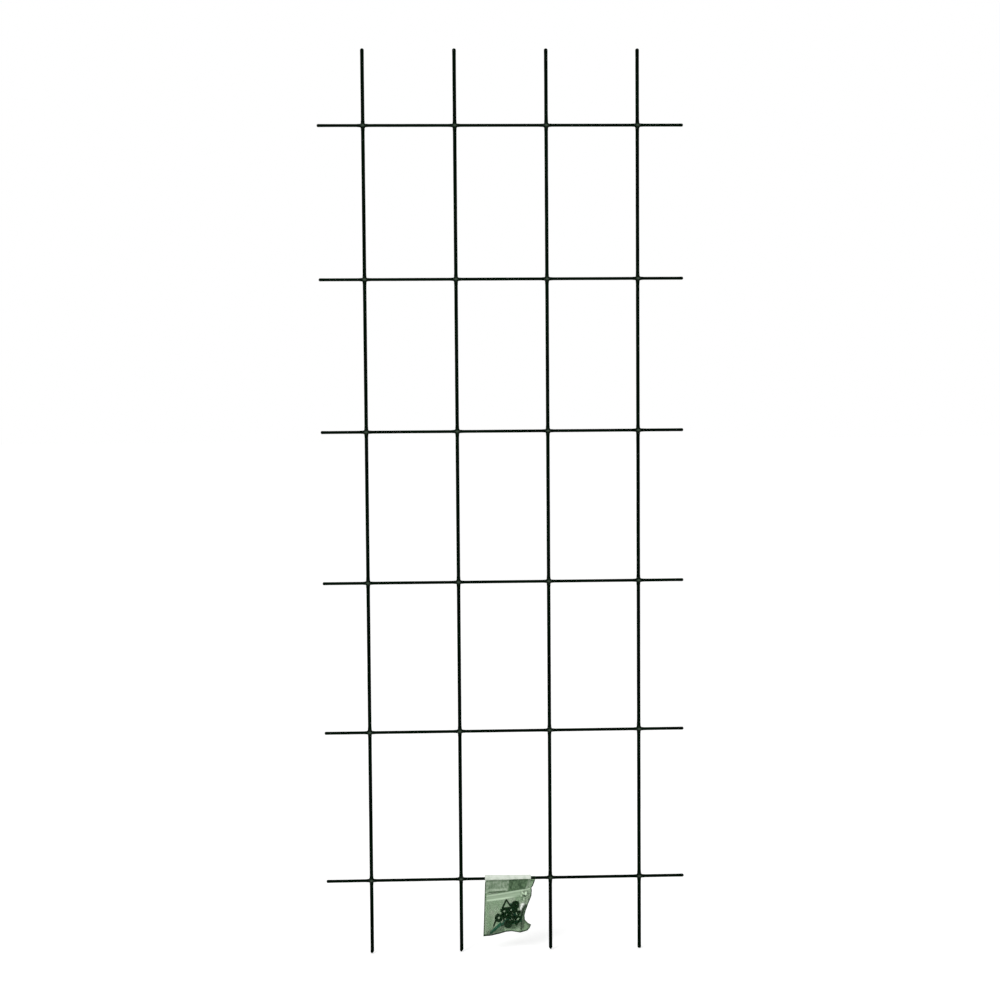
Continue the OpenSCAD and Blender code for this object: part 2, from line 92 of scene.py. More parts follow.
FILM_HALF_GAP, FILM_CLEARANCE, FILM_T = 0.12 * MM, 0.35 * MM, 0.05 * MM
SEAM_W = 1.7 * MM
SEAL_SHARE, SEAL_FROM_SHARE, SEAL_TO_SHARE = 7.5 / 24, 0.08, 0.92
SEAL_H, SEAL_T, SEAL_BANDS, SEAL_BAND_W = 2.4 * MM, 1.4 * MM, (-3.8 * MM, 3.8 * MM), 2.0 * MM
SEAL_HALF_GAP, SEAL_CORNER, SEAL_WAVE, SEAL_WAVES, SEAL_RINGS = 0.05 * MM, 0.15 * MM, 0.12 * MM, 9, 60
# Share down the bag where its films part, and how far above and below it
POUCH_SHARE, POUCH_ABOVE, POUCH_BELOW = 0.36, 0.05, 0.1
FRONT_PUFF, BACK_PUFF = 0.0045 * MM, 0.006 * MM
RELAX_STEPS, REACH_PAD = 2500, 2
FRONT_SEED, BACK_SEED, SWAY_SEED, SEAL_SEED, TAPE_SEED, RAGGED_SEED = 61, 71, 31, 41, 51, 52
# Creases of the films: share, size, turn in degrees and stretch; then a ridge's width in shares of noise
CREASES = ((0.6, 9 * MM, -35, 3.5), (0.4, 5 * MM, 40, 2.5))
CREASE_W_SHARE = 0.35
# Crumpled places: share across and down, reach across and down, strength
CRUMPLES = ((0.88, 0.3, 0.13, 0.1, 1), (0.86, 0.5, 0.1, 0.1, 1), (0.9, 0.93, 0.15, 0.1, 0.5))
# Crumpling of the whole film, its right side and the crumpled places, and where the first two begin
CRUMPLE_SHARES, CRUMPLE_START = (0.22, 0.35, 0.75), (0.03, 0.12)
CRUMPLE_RIGHT, CRUMPLE_RIGHT_START = (0.62, 0.95), (0.1, 0.25)
CREASE_H, BAND_H, FOLD_H = 1.6 * MM, 0.35 * MM, 0.8 * MM
# Distances from the bag's edge, in widths of the seam, over which creases and folds begin
CREASE_EASE, FOLD_EASE = 3, 2
# Sway of the bag's free edges: depth, reach inwards and shares down the bag where it begins
SWAY, SWAY_REACH, SWAY_SHARES = 1.5 * MM, 5 * MM, (0.06, 0.5)
SWAY_WAVES = ((24 * MM, 1), (9 * MM, 0.5))
# Haze of the two closing bands, between them and at the pale tip; the lower band fades rightwards
BAND_HAZES, SEAL_HAZE, SEAL_HAZE_REACH = (0.8, 0.86), 0.66, 4.4 * MM
BAND_FADE, BAND_FADE_AT, BAND_START, TIP_HAZE = 0.55, (0.4, 0.85), (0.02, 0.05), 0.25
# Dark edges of the films: where they end, in widths of the seam, and how dark the tip and left edge are
EDGE_ENDS, PALE_CORNER, PALE_CORNER_SHARE = (0.7, 1.4), (0.95, 0.95, 0.12, 0.12), 0.5
LEFT_EDGE_SHARES, LEFT_EDGE_ENDS = (0.65, 0.35), (0.05, 0.1)
LABEL_SHARES = ((0.015, 0.93), (0.012, 0.225))
LABEL_LIFT, LABEL_T = 0.12 * MM, 0.12 * MM
# Top edge of the label, on the tape: depth below the rail's axis at its left and right end
LABEL_TOP_DROPS, LABEL_TOP_ROWS = (2.2 * MM, 0.8 * MM), 9
# Shares of the bag: the dark block's sides, the top of the pale foot and how softly they end
LABEL_BLOCK_SHARES, LABEL_FOOT_SHARE, LABEL_SOFT = (0.485, 0.86), 0.15, 0.01
# Shares of the bag: the dark line's height above the label's foot, its left end and its right end
LABEL_LINE_SHARES, LINE_LEFT_SHARES, LINE_RIGHT_SHARES = (0.034, 0.024), (0.04, 0.1), (0.06, 0.01)
TAPE_L, TAPE_IN_R, TAPE_T, TAPE_GRIP = 77 * MM, 3.0 * MM, 0.25 * MM, 0.8 * MM
TAPE_RINGS, TAPE_WAVE, TAPE_WAVE_L, TAPE_WAVE_W = 78, 0.22 * MM, 7 * MM, 3 * MM
TAPE_RAGGED, TAPE_RAGGED_L, TAPE_LOOSE = 0.3 * MM, 4 * MM, 0.4
# Fold over the rail: points round it, points on its front, and how steeply its crest rises
FOLD_STEPS, FOLD_FRONT, FOLD_RISE = 28, 14, 3
# Height of the tape's fold over the rail at its left and right end, and how far its top is pinched
TAPE_CRESTS, TAPE_PINCH = (2.7 * MM, 1.7 * MM), 0.4
# Dark folds of doubled film, and broad patches under the heap that are doubled film with painted shade:
# places across and below the rail's axis and width, in millimetres, then share
FOLDS_AND_SHADE = (
    (((32.3, 47.5), (29.6, 52), (27.5, 58), (25.8, 66)), 2.6, 1),
    (((28.4, 55), (26, 65)), 3.6, 0.9),
    (((25.5, 66), (26, 75), (25.6, 88)), 1.6, 0.9),
    (((28.5, 71), (28, 83)), 3.6, 0.7),
    # Broad patches under the heap: doubled film with painted shade.
    (((-3, 79), (12, 81.5)), 6, 0.76),
    (((12, 81.5), (24, 79)), 5.5, 0.62),
    (((-29, 93), (-7, 86.5)), 5, 0.58),
    (((21.8, 42), (22.4, 50)), 1, 0.8),
    (((40.5, 37), (36, 46), (33, 54)), 1.3, 0.7),
    (((-37.5, 97), (-24, 95.9), (-12, 93.4)), 1.8, 0.9))
# Places across and down, and reach, in millimetres: painted highlights (gleams), crumpled patch and pale
# tip
PAINTED_GLEAMS = (((27.4, 43.2), (4.2, 2.8)), ((26, 46.2), (2.6, 3.2)), ((24.6, 49.2), (1.8, 4.6)))
PATCH, PALE_TIP = ((32.5, 31), (7.5, 9.5)), ((34, 79), (8, 7))
PAINTED_GLEAM_SHARP, PATCH_SHARP = 2.6, 4
# Marks of the crumpled patch, white painted highlights given as stress-whitened film and dark painted shade
# in its hollows: size, turn across and down, contrast and darkness
SPECK_SIZE, SPECK_TURN = (2.5 * MM, 2.5 * MM, 4.4 * MM), ((0.8, 0, 0.6), (0, 1, 0), (-0.6, 0, 0.8))
SPECK_CONTRAST, SPECK_DARKNESS = 2.4, 0.9
LIP_IN_R, LIP_T, LIP_SIDES, LIP_RINGS = 2.66 * MM, 0.22 * MM, 48, 40
LIP_HAZE, LIP_WELD = 0.2, 0.2
CORNER_IN_R, CORNER_T, CORNER_RINGS = 2.75 * MM, 0.1 * MM, 20
# Darkness of the lip's free corner and its ends, and how far from its middle they begin
CORNER_HAZE, CORNER_WELD, CORNER_END_WELD, CORNER_ENDS = 0.05, 0.12, 0.4, (0.4, 0.5)


# Meshes

# How far a seed moves the noise along each axis
SEED_SHIFT = (17.3, 5.1, 9.7)


def grid_faces(rows, columns, closed=False):
    """Quads of a grid of points that runs row by row; a closed one joins its last column to its first."""
    faces = []
    for row in range(rows - 1):
        for column in range(columns if closed else columns - 1):
            after = (column + 1) % columns
            faces.append((row * columns + column, row * columns + after,
                          (row + 1) * columns + after, (row + 1) * columns + column))
    return faces


def add_object(name, data):
    made = bpy.data.objects.new(name, data)
    bpy.context.scene.collection.objects.link(made)
    return made


def add_piece(name, mesh, look, body, nodes):
    """An object that rides on a body and stands for CAD nodes, if there are any."""
    mesh.polygons.foreach_set("use_smooth", [True] * len(mesh.polygons))
    mesh.materials.clear()
    mesh.materials.append(look)
    piece = add_object(name, mesh)
    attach(piece, body)
    if nodes:
        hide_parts(*nodes)
    return piece


def mesh_of(name, points, faces):
    mesh = bpy.data.meshes.new(name)
    mesh.from_pydata(np.reshape(points, (-1, 3)).tolist(), [], faces)
    mesh.update()
    return mesh


def set_values(mesh, **values):
    """Numbers for the points of a mesh, repeated to fill it, under names that its material reads."""
    for name, numbers in values.items():
        attribute = mesh.attributes.new(name, "FLOAT", "POINT")
        attribute.data.foreach_set("value", np.resize(numbers, len(mesh.vertices)).astype(np.float32))


def capped_tube(name, rings):
    """A tube through rings of points, closed at both ends."""
    count, sides = rings.shape[:2]
    faces = grid_faces(count, sides, closed=True)
    faces.append(tuple(reversed(range(sides))))
    faces.append(tuple(range((count - 1) * sides, count * sides)))
    return mesh_of(name, rings, faces)


def noise_at(points, seed):
    """Smooth noise from -1 to 1 at each point, with bumps of about one unit."""
    shifted = np.reshape(points, (-1, 3)) + np.array(SEED_SHIFT) * seed
    return np.reshape([noise.noise(p) for p in shifted.tolist()], np.shape(points)[:-1])


def smooth_step(low, high, values):
    share = np.clip((values - low) / (high - low), 0, 1)
    return share * share * (3 - 2 * share)


def smooth_min(a, b, blend):
    near = np.maximum(blend - np.abs(a - b), 0) / blend
    return np.minimum(a, b) - near * near * blend / 4


# Materials

class Look:
    """A procedural material: one Principled shader and the nodes that feed it."""

    def __init__(self, name, **constants):
        self.material = bpy.data.materials.new(name)
        self.material.use_nodes = True
        self.tree = self.material.node_tree
        self.shader = self.tree.nodes["Principled BSDF"]
        for socket, value in constants.items():
            self.shader.inputs[socket.replace("_", " ")].default_value = value
        self.place = self.node("ShaderNodeTexCoord").outputs["Object"]

    def node(self, kind, inputs=(), **settings):
        made = self.tree.nodes.new(kind)
        for setting, value in settings.items():
            setattr(made, setting, value)
        for socket, value in dict(inputs).items():
            if isinstance(value, bpy.types.NodeSocket):
                self.tree.links.new(value, made.inputs[socket])
            else:
                made.inputs[socket].default_value = value
        return made

    def noise(self, size, detail=2.0, stretch=(1, 1, 1)):
        """Noise whose bumps have the given size, times the stretch along each axis."""
        scale = [1 / (size * s) for s in stretch]
        mapped = self.node("ShaderNodeMapping", {"Vector": self.place, "Scale": scale})
        inputs = {"Vector": mapped.outputs[0], "Scale": 1.0, "Detail": detail}
        return self.node("ShaderNodeTexNoise", inputs).outputs["Fac"]

    def values(self, name):
        return self.node("ShaderNodeAttribute", attribute_name=name).outputs["Fac"]

    def ranged(self, value, low, high, to_low=0.0, to_high=1.0):
        inputs = {"Value": value, "From Min": low, "From Max": high, "To Min": to_low, "To Max": to_high}
        return self.node("ShaderNodeMapRange", inputs).outputs[0]

    def maths(self, operation, a, b):
        return self.node("ShaderNodeMath", {0: a, 1: b}, operation=operation).outputs[0]

    def mixed(self, share, a, b):
        return self.node("ShaderNodeMix", {0: share, 6: a, 7: b}, data_type="RGBA").outputs[2]

    def feed(self, socket, value):
        self.tree.links.new(value, self.shader.inputs[socket])

    def paint(self, share, a, b):
        self.feed("Base Color", self.mixed(share, a, b))

    def roughen(self, value, low, high):
        """Roughness between two numbers, by the middle range of a noise."""
        self.feed("Roughness", self.ranged(value, 0.3, 0.7, low, high))

    def let_through(self, opacity, tint):
        """Makes the surface clear with a tint, but for the share of it that is opaque."""
        clear = self.node("ShaderNodeBsdfTransparent", {"Color": tint})
        shaders = {0: opacity, 1: clear.outputs[0], 2: self.shader.outputs[0]}
        both = self.node("ShaderNodeMixShader", shaders)
        self.tree.links.new(both.outputs[0], self.tree.nodes["Material Output"].inputs["Surface"])

    def bump(self, height, depth, under=None):
        inputs = {"Height": height, "Distance": depth}
        if under is not None:
            inputs["Normal"] = under
        return self.node("ShaderNodeBump", inputs).outputs[0]


def coating_look(name, stretch):
    """Dark green dipped plastic: an uneven skin with dull patches and scuffs, stretched along its rod, and
    a painted highlight on the front of each crossing.
    """
    look = Look(name, Specular_IOR_Level=0.006)
    patches = look.noise(14 * MM, 3.0, stretch)
    skin = look.noise(1.6 * MM, 2.0, stretch)
    grain = look.noise(0.35 * MM)
    scuffs = look.ranged(look.noise(5 * MM, 6.0, stretch), 0.66, 0.74)
    uneven = look.ranged(patches, 0.35, 0.65)
    green = look.mixed(uneven, (0.0003, 0.0022, 0.0007, 1), (0.001, 0.0052, 0.0018, 1))
    scuffed = look.mixed(look.maths("MULTIPLY", scuffs, 0.35), green, (0.008, 0.02, 0.01, 1))
    # Painted highlight: a pale spot on the front of each crossing.
    look.paint(look.values("worn"), scuffed, (0.05, 0.07, 0.05, 1))
    rough = look.ranged(patches, 0.3, 0.7, 0.36, 0.5)
    look.feed("Roughness", look.maths("ADD", rough, look.maths("MULTIPLY", scuffs, 0.2)))
    look.feed("Normal", look.bump(grain, 0.02 * MM, look.bump(skin, 0.14 * MM)))
    return look.material


def steel_look():
    """Drawn wire with fine lines."""
    look = Look("drawn_steel", Metallic=1.0)
    lines = look.noise(0.3 * MM, 2.0, (1, 1, 8))
    look.paint(lines, (0.42, 0.43, 0.44, 1), (0.6, 0.61, 0.62, 1))
    look.roughen(lines, 0.25, 0.45)
    return look.material


def weld_look():
    """Fused metal, mottled by heat."""
    look = Look("fused_steel", Metallic=1.0)
    mottle = look.noise(0.4 * MM, 4.0)
    look.paint(mottle, (0.12, 0.11, 0.11, 1), (0.34, 0.33, 0.33, 1))
    look.roughen(mottle, 0.5, 0.75)
    return look.material


def film_look():
    """Green-tinted clear film: hazy at its closing, dark at welds and folds, with painted shade under the
    heap and in crumpled hollows, painted highlights as gleams and white crumple marks, and unseen on its
    inner face.
    """
    look = Look("bag_film", Specular_IOR_Level=0.06)
    haze, weld, gleam = look.values("haze"), look.values("weld"), look.values("gleam")
    streaks = look.noise(5 * MM, 3.0, (1, 1, 6))
    specks = look.noise(1.2 * MM, 2.0)
    patches = look.ranged(look.noise(12 * MM, 3.0, (1, 1, 2.2)), 0.42, 0.68)
    streaky = look.ranged(streaks, 0.35, 0.65)
    dull = look.mixed(streaky, (0.012, 0.06, 0.016, 1), (0.03, 0.09, 0.032, 1))
    dull = look.mixed(patches, dull, (0.06, 0.11, 0.06, 1))
    # The pale haze colour also paints highlights on the crumpled patch.
    hazy_and_highlighted = look.mixed(haze, dull, (0.63, 0.8, 0.58, 1))
    # The dark weld colour also paints shade under the heap and in the crumpled hollows.
    welded_and_shaded = look.mixed(weld, hazy_and_highlighted, (0.003, 0.018, 0.006, 1))
    # Painted highlight: near-white, opaque gleams.
    look.paint(gleam, welded_and_shaded, (0.93, 0.97, 0.91, 1))
    look.roughen(specks, 0.16, 0.3)
    look.feed("Normal", look.bump(specks, 0.05 * MM))
    thin = look.ranged(streaks, 0.3, 0.7, 0.09, 0.15)
    hidden = look.maths("MULTIPLY", haze, 0.95)
    thick = look.maths("MAXIMUM", hidden, look.maths("MULTIPLY", weld, 0.88))
    inner = look.values("inner")
    opacity = look.maths("MAXIMUM", look.maths("MAXIMUM", thin, thick), gleam)
    opacity = look.maths("MULTIPLY", opacity, look.maths("SUBTRACT", 1.0, inner))
    broad = look.ranged(streaks, 0.3, 0.7)
    tint = look.mixed(broad, (0.53, 0.625, 0.51, 1), (0.455, 0.565, 0.435, 1))
    tint = look.mixed(patches, tint, (0.58, 0.625, 0.55, 1))
    look.let_through(opacity, look.mixed(inner, tint, (1, 1, 1, 1)))
    return look.material


def seal_look():
    """Pale, half-clear closing strip, drawn along its length."""
    look = Look("closing_strip")
    lines = look.noise(0.4 * MM, 2.0, (12, 1, 1))
    look.paint(lines, (0.55, 0.64, 0.52, 1), (0.7, 0.78, 0.66, 1))
    look.feed("Alpha", look.ranged(lines, 0.3, 0.7, 0.15, 0.28))
    look.roughen(lines, 0.3, 0.45)
    return look.material


def tape_look():
    """White tape: faint creases across it and greyer patches."""
    look = Look("white_tape", Specular_IOR_Level=0.4)
    creases = look.noise(2.5 * MM, 3.0, (1, 4, 4))
    weave = look.noise(0.5 * MM, 2.0)
    soil = look.ranged(look.noise(9 * MM, 4.0), 0.45, 0.7)
    soiled = look.maths("MULTIPLY", soil, 0.8)
    look.paint(soiled, (0.69, 0.75, 0.66, 1), (0.44, 0.52, 0.42, 1))
    look.roughen(weave, 0.45, 0.62)
    look.feed("Normal", look.bump(weave, 0.03 * MM, look.bump(creases, 0.12 * MM)))
    return look.material


def label_look():
    """Bare label in plain tints, with the mottle of cheap printing."""
    look = Look("bare_label", Specular_IOR_Level=0.35)
    mottle = look.noise(3.4 * MM, 4.0, (1, 1, 1.6))
    uneven = look.ranged(mottle, 0.36, 0.64)
    pale = look.mixed(uneven, (0.1, 0.165, 0.092, 1), (0.26, 0.34, 0.24, 1))
    dark = look.mixed(uneven, (0.018, 0.053, 0.016, 1), (0.092, 0.165, 0.082, 1))
    bare = look.mixed(uneven, (0.22, 0.31, 0.2, 1), (0.38, 0.47, 0.35, 1))
    printed = look.mixed(look.values("block"), look.mixed(look.values("foot"), pale, bare), dark)
    look.paint(look.values("border"), printed, (0.06, 0.105, 0.052, 1))
    look.roughen(mottle, 0.4, 0.55)
    return look.material


def moulded_look(name, dark, light, rough):
    """Moulded plastic with a fine spark-eroded grain and slightly paler worn patches."""
    look = Look(name, Specular_IOR_Level=0.15)
    grain = look.noise(0.25 * MM, 2.0)
    flow = look.noise(6 * MM, 3.0)
    look.paint(look.ranged(flow, 0.35, 0.65), dark, light)
    look.roughen(grain, rough - 0.06, rough + 0.08)
    look.feed("Normal", look.bump(grain, 0.03 * MM))
    return look.material


def blackened_look():
    """Blackened steel with a film of oil and a few bare spots."""
    look = Look("blackened_steel", Metallic=1.0)
    spots = look.noise(0.8 * MM, 4.0)
    worn = look.ranged(spots, 0.56, 0.7)
    look.paint(worn, (0.02, 0.026, 0.022, 1), (0.11, 0.115, 0.105, 1))
    look.feed("Roughness", look.ranged(spots, 0.35, 0.65, 0.28, 0.46))
    return look.material


# Rods

class Rod:
    """A straight coated rod, read from its CAD node; along is the number of the axis that it follows."""

    def __init__(self, node, along, radius):
        low, high = (np.array(corner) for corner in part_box(node))
        self.node, self.along, self.radius = node, along, radius
        self.start, self.end = low[along], high[along]
        self.middle = (low + high) / 2
        self.sideways = np.eye(3)[(along + 1) % 3], np.eye(3)[(along + 2) % 3]

    def points(self, places, turns, radii):
        """Points at places along the rod, at turns round it and at radii from its axis."""
        side, up = self.sideways
        out = np.cos(turns)[..., None] * side + np.sin(turns)[..., None] * up
        made = self.middle + radii[..., None] * out
        made[..., self.along] = np.broadcast_to(places, radii.shape)
        return made

    def distance(self, points):
        """Distance of points from the rod's collars."""
        across = np.delete(points - self.middle, self.along, axis=-1)
        return np.linalg.norm(across, axis=-1) - self.radius - COLLAR_RISE


def ring_places(rod, crossings):
    """Places and radii of a rod's rings: a dome at each end, and close rings at the crossings."""
    bend = np.linspace(0, math.pi / 2, DOME_RINGS + 1)
    bend[0] = DOME_TIP_TURN
    dome, dome_radii = rod.radius * (1 - np.cos(bend)), rod.radius * np.sin(bend)
    body = np.arange(rod.start + 2 * rod.radius, rod.end - 2 * rod.radius, RING_STEP)
    apart = np.min(np.abs(body[:, None] - np.array(crossings)), axis=1)
    close = [np.arange(c - CROSSING_REACH, c + CROSSING_REACH, FINE_STEP) for c in crossings]
    body = np.sort(np.concatenate([body[apart > CROSSING_REACH + FINE_STEP], *close]))
    places = np.concatenate([rod.start + dome, body, (rod.end - dome)[::-1]])
    radii = np.concatenate([dome_radii, np.full(len(body), rod.radius), dome_radii[::-1]])
    return places[:, None], radii[:, None]


def uneven_skin(rod, places, turns, crossings, seed):
    """Height of the dipped coating above a plain rod: waves, collars, runs and end beads."""
    rise = np.zeros(np.broadcast(places, turns).shape)
    round_rod = [np.broadcast_to(x, rise.shape) for x in (np.cos(turns), np.sin(turns))]
    for height, reach in WAVES:
        here = np.stack([np.broadcast_to(places / reach, rise.shape), *round_rod], -1)
        rise += height * noise_at(here, seed)
    random = np.random.default_rng(seed)
    for crossing in crossings:
        apart = np.abs(places - crossing)
        rise += COLLAR_RISE * (1 - smooth_step(COLLAR_HALF, COLLAR_HALF + COLLAR_TAPER, apart))
        for _ in range(random.integers(*RUN_COUNTS)):
            place = crossing + random.uniform(*RUN_PLACES_MM) * MM
            turn = random.uniform(-math.pi, math.pi)
            aside = np.abs((turns - turn + math.pi) % (2 * math.pi) - math.pi)
            reach = RUN_REACH * random.uniform(*RUN_REACH_SHARES)
            kept = 1 - smooth_step(*RUN_ENDS[rod.along], apart)
            rise += kept * RUN_HEIGHT * random.uniform(*RUN_HEIGHT_SHARES) * np.exp(
                -((places - place) / reach) ** 2 - (aside / RUN_TURN) ** 2)
    for end in (rod.start, rod.end):
        rise += END_BEAD * np.exp(-((places - end) / END_BEAD_REACH) ** 2)
    return rise


def join_fillets(rod, places, turns, radii, others):
    """Radii at which a rod's skin meets the fillets that join it to the rods that it crosses."""
    def outside(tried):
        points = rod.points(places, turns, tried)
        near = np.min([other.distance(points) for other in others], axis=0)
        return smooth_min(tried - radii, near, FILLET_BLEND)

    low, high = radii, radii + FILLET_MOST
    reaches_air = outside(high) >= 0
    for _ in range(FILLET_STEPS):
        middle = (low + high) / 2
        covered = outside(middle) < 0
        low, high = np.where(covered, middle, low), np.where(covered, high, middle)
    return np.where(reaches_air, high, radii)


def cut_drip(points, rod, turns_deg):
    """Lifts the foot of a leg to the slopes that the coating left as it dripped."""
    aside = points[..., :2] - rod.middle[:2]
    for turn in np.radians(turns_deg):
        out = aside[..., 0] * math.cos(turn) + aside[..., 1] * math.sin(turn)
        slope = rod.start + (out + DRIP_OFFSET) * math.tan(math.radians(DRIP_SLOPE_DEG))
        points[..., 2] = -smooth_min(-points[..., 2], -slope, DRIP_ROUND)


def add_rod_skin(name, rod, others, look, nodes, seed, drip_turns=()):
    """The dipped skin of a rod, with fillets at the rods that it crosses and drips at its foot."""
    crossings = [other.middle[rod.along] for other in others]
    places, radii = ring_places(rod, crossings)
    turns = np.linspace(0, 2 * math.pi, ROD_SIDES, endpoint=False)[None, :]
    radii = np.broadcast_to(radii, (len(places), ROD_SIDES))
    rise = uneven_skin(rod, places, turns, crossings, seed) * (radii / rod.radius)
    radii = join_fillets(rod, places, turns, radii + rise, others)
    points = rod.points(places, np.broadcast_to(turns, radii.shape), radii)
    cut_drip(points, rod, drip_turns)
    mesh = capped_tube(name, points)
    # Painted highlight at each crossing, strongest where the skin faces the front.
    apart = np.min(np.abs(places[..., None] - np.array(crossings)), axis=-1)
    facing = np.clip((rod.middle[1] - points[..., 1]) / radii, 0, 1)
    set_values(mesh, worn=np.exp(-(apart / PAINTED_HIGHLIGHT_REACH) ** 2) * facing ** PAINTED_HIGHLIGHT_FOCUS)
    add_piece(name, mesh, look, "frame", nodes)


uprights = [Rod(f"upright_coating_{i}", Z_AXIS, UPRIGHT_R) for i in UPRIGHTS]
rails = [Rod(f"rail_coating_{j}", X_AXIS, RAIL_R) for j in RAILS]
upright_coating = coating_look("upright_coating", (1, 1, 5))
rail_coating = coating_look("rail_coating", (5, 1, 1))
for i, rod in zip(UPRIGHTS, uprights):
    add_rod_skin(f"upright_skin_{i}", rod, rails, upright_coating, [rod.node], i, DRIP_TURNS_DEG[i - 1])
for j, rod in zip(RAILS, rails):
    nodes = [rod.node, f"crossing_webs_{j}"]
    add_rod_skin(f"rail_skin_{j}", rod, uprights, rail_coating, nodes, RAIL_SEED + j)


# Bag

BAG_AXIS = np.array([(uprights[1].middle[0] + uprights[2].middle[0]) / 2, *rails[0].middle[1:]])
CONTENTS = [f"{kind}_{k}" for kind in ("wall_clip", "screw", "wall_plug") for k in FIXINGS]


def at_share(shares, values):
    """Values of a line through pairs of numbers."""
    return np.interp(values, *np.transpose(shares))


def bag_across(u, v):
    """Distance along the rail, from the middle of the bag's bay, at shares across and down the bag."""
    return BAG_LEFT + (u * at_share(RIGHT_EDGE_SHARES, v) - (1 - u) * v * LEFT_LEAN_SHARE) * BAG_W


def bag_drop(u, v):
    """Distance below the rail's axis at shares across and down the bag."""
    sag = np.maximum(0, (v - SAG_START_SHARE) / (1 - SAG_START_SHARE)) ** 2 * at_share(BOTTOM_SAG_SHARES, u)
    lift = u * at_share(LIFT_DEPTH_SHARES, v) * SEAL_LIFT_SHARE
    return MOUTH_DROP + v * (BAG_H * (1 - BAG_SKEW_SHARE * u) - MOUTH_DROP) + (sag - lift) * BAG_H


def triangles_of(nodes):
    """Points and triangles of several CAD nodes together."""
    points, corners = [], []
    for node in nodes:
        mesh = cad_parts[node].data
        mesh.calc_loop_triangles()
        corners += [tuple(len(points) + c for c in t.vertices) for t in mesh.loop_triangles]
        points += [v.co.copy() for v in mesh.vertices]
    return points, corners


def reach_of(nodes, across, drop, side):
    """How far nodes stand out from the bag's middle plane, to its front (-1) or back (1), over a grid."""
    tree = BVHTree.FromPolygons(*triangles_of(nodes))
    far = BAG_W
    reach = np.zeros(across.shape)
    for place in np.ndindex(across.shape):
        start = Vector(BAG_AXIS + (across[place], side * far, -drop[place]))
        hit = tree.ray_cast(start, Vector((0, -side, 0)), far)
        if hit[0] is not None:
            reach[place] = far - hit[3]
    padded = np.pad(reach, REACH_PAD, mode="edge")
    rows, columns = reach.shape
    steps = range(2 * REACH_PAD + 1)
    return np.max([padded[r:r + rows, c:c + columns] for r in steps for c in steps], axis=0)


def stretch_over(least, held, puff):
    """Depth of a film that is held at some points and stretched over what lies under it, by relaxation."""
    depth = least.copy()
    for _ in range(RELAX_STEPS):
        around = (depth[:-2, 1:-1] + depth[2:, 1:-1] + depth[1:-1, :-2] + depth[1:-1, 2:]) / 4
        depth[1:-1, 1:-1] = np.maximum(least[1:-1, 1:-1], around + puff[1:-1, 1:-1])
        depth[held] = least[held]
    return depth


class BagGrid:
    """Shares, places and distances from the edges, shared by both films of the bag."""

    def __init__(self):
        self.v, self.u = np.meshgrid(
            np.linspace(0, 1, FILM_ROWS), np.linspace(0, 1, FILM_COLUMNS), indexing="ij")
        self.across, self.drop = bag_across(self.u, self.v), bag_drop(self.u, self.v)
        left, right = self.across - self.across[:, :1], self.across[:, -1:] - self.across
        foot = self.drop[-1:, :] - self.drop
        self.inward = np.minimum(np.minimum(left, right), foot)
        self.below_seal = self.drop - bag_drop(self.u, np.full(self.u.shape, SEAL_SHARE))
        self.seam = self.inward < SEAM_W
        self.plane = np.stack([self.across, np.zeros(self.u.shape), self.drop], -1)

    def near(self, u, v, reach_u, reach_v):
        """A soft spot round a place, given in shares."""
        return np.exp(-((self.u - u) / reach_u) ** 2 - ((self.v - v) / reach_v) ** 2)

    def spot(self, place, reach, sharp=2):
        """A soft spot round a place across and down, given in millimetres."""
        return np.exp(-np.abs((self.across / MM - place[0]) / reach[0]) ** sharp
                      - np.abs((self.drop / MM - place[1]) / reach[1]) ** sharp)

    def line(self, places, width):
        """A soft line of a width through places across and down, all in millimetres."""
        here = np.stack([self.across, self.drop], -1) / MM
        gap = np.full(self.u.shape, np.inf)
        for start, end in zip(np.array(places[:-1], float), np.array(places[1:], float)):
            along = end - start
            share = np.clip((here - start) @ along / np.sum(along ** 2), 0, 1)
            gap = np.minimum(gap, np.linalg.norm(here - start - share[..., None] * along, axis=-1))
        return np.exp(-(gap / width) ** 2)

    def folds_and_shade(self):
        """Share of the dark folds over the bag, with the painted shade under the heap."""
        return np.max([share * self.line(places, width) for places, width, share in FOLDS_AND_SHADE], axis=0)


def creases(grid, seed, share, size, turn_deg, stretch):
    """Thin ridges of folded film, from 0 to a share, that run at an angle."""
    turn = math.radians(turn_deg)
    along = grid.across * math.cos(turn) + grid.drop * math.sin(turn)
    aside = -grid.across * math.sin(turn) + grid.drop * math.cos(turn)
    here = np.stack([along / (size * stretch), aside / size, np.zeros(along.shape)], -1)
    return share * np.clip(1 - np.abs(noise_at(here, seed)) / CREASE_W_SHARE, 0, 1) ** 2


def crumple(grid):
    """Share of crumpling over the bag: strong beside the right edge, slight on the lip."""
    whole, beside, most = CRUMPLE_SHARES
    right = smooth_step(*CRUMPLE_RIGHT, grid.u) * smooth_step(*CRUMPLE_RIGHT_START, grid.v)
    strong = sum(strength * grid.near(*place) for *place, strength in CRUMPLES)
    return np.clip(whole + beside * right + most * strong, 0, 1) * smooth_step(*CRUMPLE_START, grid.v)


